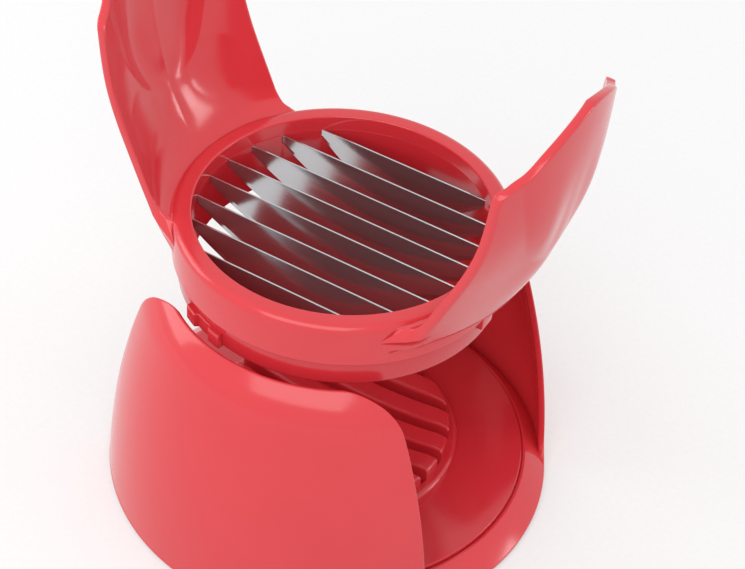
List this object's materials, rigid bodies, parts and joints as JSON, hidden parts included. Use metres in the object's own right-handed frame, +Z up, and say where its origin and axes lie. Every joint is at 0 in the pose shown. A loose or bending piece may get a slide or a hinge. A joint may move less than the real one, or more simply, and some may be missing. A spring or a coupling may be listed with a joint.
{
  "type": "press-down food slicer",
  "caption": "Round press-down slicer: a two-winged base with a food holder, and a ring of parallel blades with two handles that slides down between the wings.",
  "frame": {"origin": "on the table, below the middle of the base", "axes": "+Z up along the cutting stroke; +X along the blades towards one handle; +Y from the near wing to the far wing"},
  "size_m": [0.1726, 0.168, 0.209],
  "materials": {
    "shell_plastic": "glossy moulded ABS, signal red",
    "inner_plastic": "glossy moulded ABS, signal red",
    "blade_steel": "polished stainless steel strip with ground edges",
    "screw_steel": "zinc plated steel",
    "foot_rubber": "matt moulded rubber"
  },
  "bodies": {
    "base": {"base_shell": "shell_plastic", "floor_plate": "inner_plastic", "floor_screws": "screw_steel", "food_holder": "inner_plastic", "holder_screws": "screw_steel", "foot_1": "foot_rubber", "foot_2": "foot_rubber", "foot_3": "foot_rubber", "foot_4": "foot_rubber"},
    "head": {"head_frame": "shell_plastic", "blade_clamp_ring": "shell_plastic", "clamp_screws": "screw_steel", "blade_1": "blade_steel", "blade_2": "blade_steel", "blade_3": "blade_steel", "blade_4": "blade_steel", "blade_5": "blade_steel", "blade_6": "blade_steel", "blade_7": "blade_steel", "blade_8": "blade_steel"}
  },
  "joints": [
    {"name": "head_slide", "type": "slide", "parent": "base", "child": "head", "axis": [0, 0, 1], "range_m": [-0.083, 0.06]}
  ]
}
